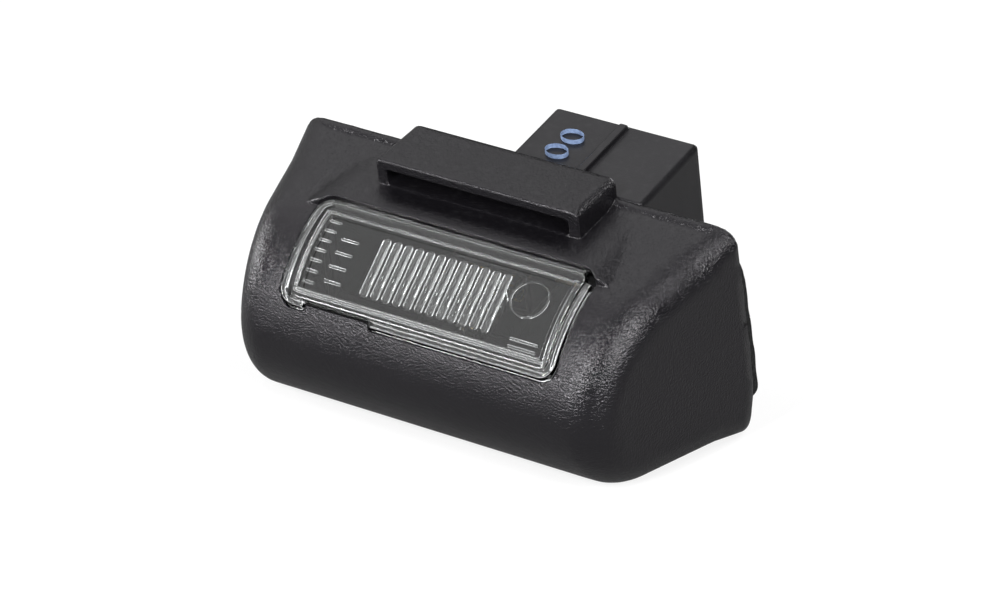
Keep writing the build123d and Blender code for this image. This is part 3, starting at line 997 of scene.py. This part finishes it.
rib_level = flange_bottom - air_gap


def under_rim(points):
    """Ribs drawn on a plane to the underside of the rim."""
    return on_nose(points + (0.0, 0.0, rib_level))


rim_ribs = grow("rim_ribs", rib_tree, {}, lens_clear, under_rim)

# %% [markdown]
# ## Plain marks
# Moulded lenses and plug blocks carry small raised and printed marks. Here they are plain: columns of bars
# and a ring on the inside of the lens, and two ink rings on the block. The flute tree makes the bars,
# turned by a quarter, and one ring tree makes both kinds of ring.

# %% Bars
bar_columns = [
    ((-20.3, 0.2), {"Count": 7, "Pitch": 1.7, "Width": 0.5, "Length": 2.2, "Height": 0.25}),
    ((-16.3, -0.6), {"Count": 4, "Pitch": 2.3, "Width": 0.5, "Length": 3.2, "Height": 0.25}),
    ((17.6, -5.0), {"Count": 2, "Pitch": 1.1, "Width": 0.45, "Length": 5.0, "Height": 0.25}),
]


def quarter_turn(points, middle):
    """Row of bars turned into a column and laid on the inside of the panel."""
    u, v, w = points.T
    return on_nose(np.stack((middle[0] - v, middle[1] + u, panel_inside - air_gap + w), 1))


lens_bars = []
for index, (middle, values) in enumerate(bar_columns, 1):
    bars = grow(
        f"lens_bars_{index}", flute_tree, values, lens_clear, lambda points: quarter_turn(points, middle)
    )
    lens_bars.append(bars)

# %% Rings
ring_inputs = [
    ("Count", "NodeSocketInt", 1),
    ("Step", vector, (0.0, 0.0, 0.0)),
    ("Size", vector, (1.0, 1.0, 1.0)),
    ("Line Width", number, 0.3),
    ("Line Height", number, 0.1),
]
ring_tree, ring_in, ring_end = new_tree("rings", ring_inputs)
ring_size = ring_in.outputs
circle = node(ring_tree, "GeometryNodeCurvePrimitiveCircle", {"Resolution": 64, "Radius": 1.0})
oval = node(ring_tree, "GeometryNodeTransform", {"Geometry": circle, "Scale": ring_size["Size"]})
line_sides = {"Width": ring_size["Line Height"], "Height": ring_size["Line Width"]}
line = node(ring_tree, "GeometryNodeCurvePrimitiveQuadrilateral", line_sides)
band = node(ring_tree, "GeometryNodeCurveToMesh", {"Curve": oval, "Profile Curve": line})
spots = node(ring_tree, "GeometryNodeMeshLine", {"Count": ring_size["Count"], "Offset": ring_size["Step"]})
rings = node(ring_tree, "GeometryNodeInstanceOnPoints", {"Points": spots, "Instance": band})
close_tree(ring_tree, ring_end, rings, ring_size["Material"])

ink_values = {
    "Count": 2,
    "Step": (0.2, 4.3, 0.0),
    "Size": (1.9, 1.4, 1.0),
    "Line Width": 1.5,
    "Line Height": 0.05,
}
block_top = block_level + block_half_height
ink_start = (3.7, 5.8, block_top + 0.01)
ink_rings = grow("ink_rings", ring_tree, ink_values, ink_blue, lambda points: on_table(points + ink_start))
mark_values = {"Size": (3.0, 3.0, 1.0), "Line Width": 0.4, "Line Height": 0.2}
mark_middle = (15.8, 2.0, panel_inside - 0.13)
lens_mark = grow(
    "lens_mark", ring_tree, mark_values, lens_clear, lambda points: on_nose(points + mark_middle)
)

# %% [markdown]
# ## Gasket
# A soft cellular frame seals the lamp against the body panel. Foam never lies quite even, so slow waves
# move its surface by a fraction of a millimetre and its edges are well rounded.

# %% Gasket
gasket_top = -3.0
gasket_bottom = -34.2
gasket_side_inset = 1.25
gasket_top_corner = 9.0
gasket_bottom_corner = 3.6
gasket_width = 4.5
gasket_thickness = 3.0
foam_sink = 0.1
passage_half = (block_half_width + 0.2, block_half_height + 0.2)


def gasket_field(x, y, z):
    """Distance to the soft frame."""
    sides = np.abs(x) - length / 2 + gasket_side_inset + (z + back_height / 2) * draft_run
    outer = both(both(sides, z - gasket_top, gasket_top_corner), gasket_bottom - z, gasket_bottom_corner)
    opening_rise = between(z, gasket_bottom + gasket_width, gasket_top - gasket_width)
    inner = both(sides + gasket_width, opening_rise, gasket_top_corner / 2)
    ring = without(outer, inner)
    waves = 0.05 * np.sin(0.7 * x + 0.4 * z) + 0.04 * np.sin(1.1 * z - 0.5 * x + 1.0)
    frame_form = both(ring, between(y, 0.0, gasket_thickness), 0.6) + foam_sink + waves * np.clip(y, 0, 1)
    passage = box_field(x - block_middle, z - block_level, passage_half, 0.2)
    return without(frame_form, passage, 0.4)


gasket_skin = field_mesh(
    "gasket_skin",
    gasket_field,
    low=(-39.2, -0.3, -36.0),
    high=(39.2, 3.5, -2.3),
    cell=(0.3, 0.25, 0.3),
)

# %% [markdown]
# ## Bulb
# A wedge bulb is blown from one tube: a pinched flat base, a neck and a round envelope. Its filament is a
# fine coil, which the spiral node draws.

# %% Bulb glass
bulb_base_back = -2.7
bulb_base_length = 8.0
envelope_start = -10.1
envelope_length = 16.5
envelope_radius = 5.0
neck_radius = 3.4
neck_length = 3.0
glass_wall = 0.6
base_half = (4.7, 1.2)


def bulb_field(x, y, z):
    """Distance to the bulb's glass."""
    radius = np.hypot(x, z - bulb_level)
    run = envelope_start - y
    tube = both(radius - envelope_radius, run - envelope_length, 4.8)
    neck_slope = (envelope_radius - neck_radius) / neck_length
    neck = (radius - neck_radius - run * neck_slope) / math.hypot(1, neck_slope)
    tube = both(both(tube, neck, 2.0), -run, 0.4)
    base = box_field(x, z - bulb_level, base_half, 0.8)
    base = both(base, between(y, bulb_base_back - bulb_base_length, bulb_base_back), 0.4)
    hollow_run = between(run, neck_length, envelope_length - glass_wall)
    hollow = both(radius - envelope_radius + glass_wall, hollow_run, 2.5)
    return without(either(tube, base, 0.6), hollow)


bulb_skin = field_mesh(
    "bulb_skin",
    bulb_field,
    low=(-5.5, -27.2, -21.0),
    high=(5.5, -2.3, -10.0),
    cell=(0.22, 0.22, 0.22),
    adaptivity=0.01,
)

# %% Filament
coil_inputs = [
    ("Turns", number, 9.0),
    ("Coil Radius", number, 0.28),
    ("Coil Length", number, 3.1),
    ("Wire Radius", number, 0.06),
]
coil_tree, coil_in, coil_end = new_tree("coil", coil_inputs)
coil_size = coil_in.outputs
spiral_inputs = {
    "Resolution": 16,
    "Rotations": coil_size["Turns"],
    "Start Radius": coil_size["Coil Radius"],
    "End Radius": coil_size["Coil Radius"],
    "Height": coil_size["Coil Length"],
}
spiral = node(coil_tree, "GeometryNodeCurveSpiral", spiral_inputs)
wire_inputs = {"Resolution": 8, "Radius": coil_size["Wire Radius"]}
wire = node(coil_tree, "GeometryNodeCurvePrimitiveCircle", wire_inputs)
coil_sweep = {"Curve": spiral, "Profile Curve": wire, "Fill Caps": True}
coil = node(coil_tree, "GeometryNodeCurveToMesh", coil_sweep)
close_tree(coil_tree, coil_end, coil, coil_size["Material"])
coil_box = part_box("bulb_filament")
coil_middle = (np.array(coil_box[0]) + np.array(coil_box[1])) / 2


def along_filament(points):
    """Coil drawn up the Z axis to its place across the bulb."""
    u, v, w = (points / 1000).T
    return np.stack((w - w.max() / 2, u, v), 1) + coil_middle


filament = grow("filament", coil_tree, {}, lead_steel, along_filament)

# %% [markdown]
# ## Hand over
# Each piece rides on the lamp's one body and hides the solid it stands in for. Its slot name is listed but
# not used.
# The solids get the same finishes, because some of them stay in the picture as they are.

# %% Hand over
pieces = [
    (housing_skin, "housing", "housing_plastic", housing_black),
    (cover_skin, "rear_cover", "cover_plastic", cover_black),
    (lens_shell, "lens", "lens_clear", lens_clear),
    (lens_flutes, "lens", "lens_clear", None),
    (lens_mark, "lens", "lens_clear", None),
    (rim_ribs, "lens", "lens_clear", None),
    (gasket_skin, "mounting_gasket", "gasket_rubber", gasket_black),
    (bulb_skin, "bulb_glass", "bulb_clear", bulb_clear),
    (filament, "bulb_filament", "lead_wire", None),
    (ink_rings, "rear_cover", "cover_plastic", None),
    *((bars, "lens", "lens_clear", None) for bars in lens_bars),
]
for piece, solid, slot, material in pieces:
    if material:
        piece.data.materials.append(material)
    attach(piece, "root")
    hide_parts(solid)

solid_finish = {
    "housing": housing_black,
    "rear_cover": cover_black,
    "lens": lens_clear,
    "lens_seal": seal_black,
    "mounting_gasket": gasket_black,
    "contact_left": contact_brass,
    "contact_right": contact_brass,
    "bulb_glass": bulb_clear,
    "bulb_leads": lead_steel,
    "bulb_filament": lead_steel,
}
for name, material in solid_finish.items():
    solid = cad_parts[name]
    solid.data.materials.clear()
    solid.data.materials.append(material)
print("pieces:", [piece.name for piece, *_ in pieces])
